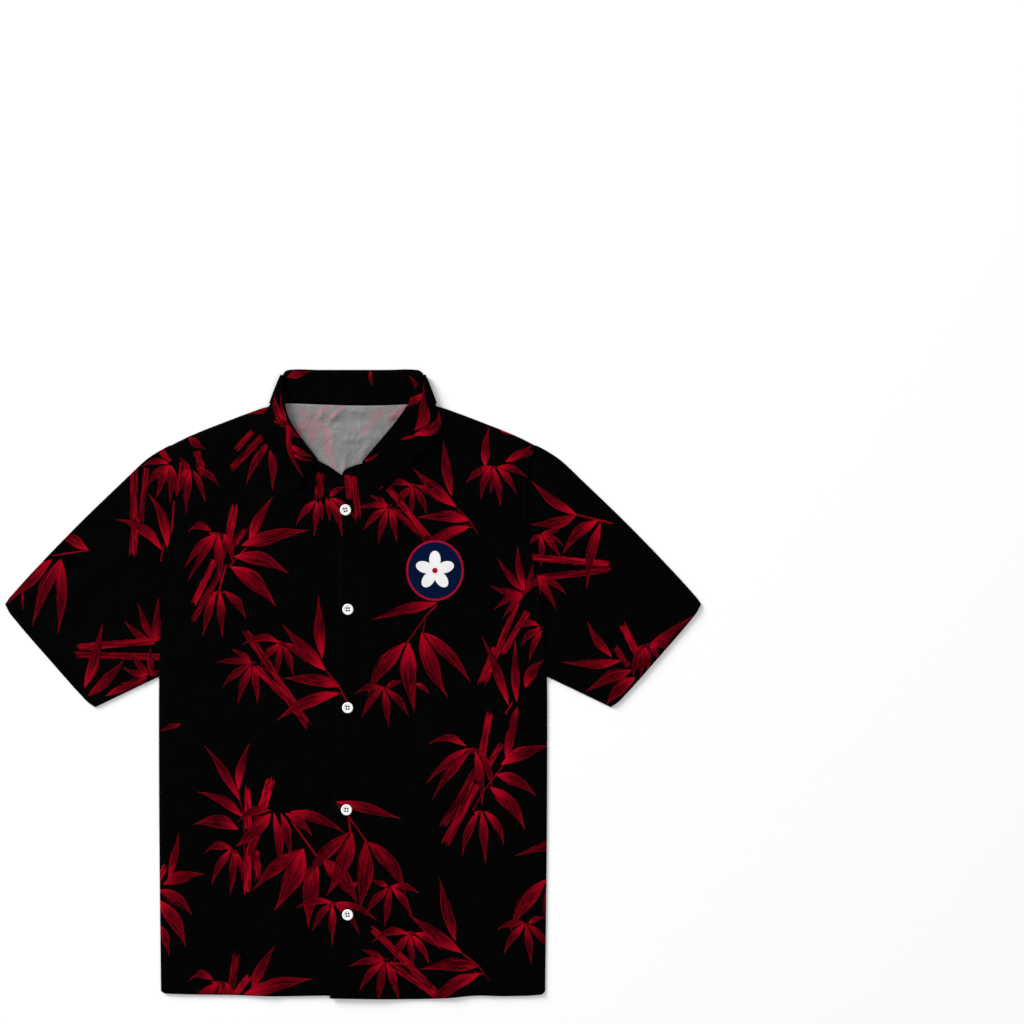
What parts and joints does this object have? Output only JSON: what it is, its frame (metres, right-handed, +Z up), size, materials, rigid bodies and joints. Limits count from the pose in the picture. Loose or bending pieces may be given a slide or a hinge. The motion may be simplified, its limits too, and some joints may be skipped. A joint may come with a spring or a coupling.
{
  "type": "hawaiian shirt",
  "caption": "Short-sleeved button-front shirt with a banded collar, laid flat on its back, in separate rigid panels of printed cloth.",
  "frame": {"origin": "on the surface the shirt lies on, under the middle of its outline", "axes": "+Y from the hem to the collar, +X towards the wearer's left (the right of the picture), +Z up out of the front"},
  "size_m": [0.9048, 0.8192, 0.0086],
  "materials": {
    "printed_cloth": "matte",
    "button_shell": "satin"
  },
  "bodies": {
    "root": {"back": "printed_cloth", "front_left": "printed_cloth", "front_right": "printed_cloth", "sleeve_left": "printed_cloth", "sleeve_right": "printed_cloth", "collar_stand": "printed_cloth", "collar_fall": "printed_cloth", "button_1": "button_shell", "button_2": "button_shell", "button_3": "button_shell", "button_4": "button_shell", "button_5": "button_shell"}
  },
  "joints": []
}
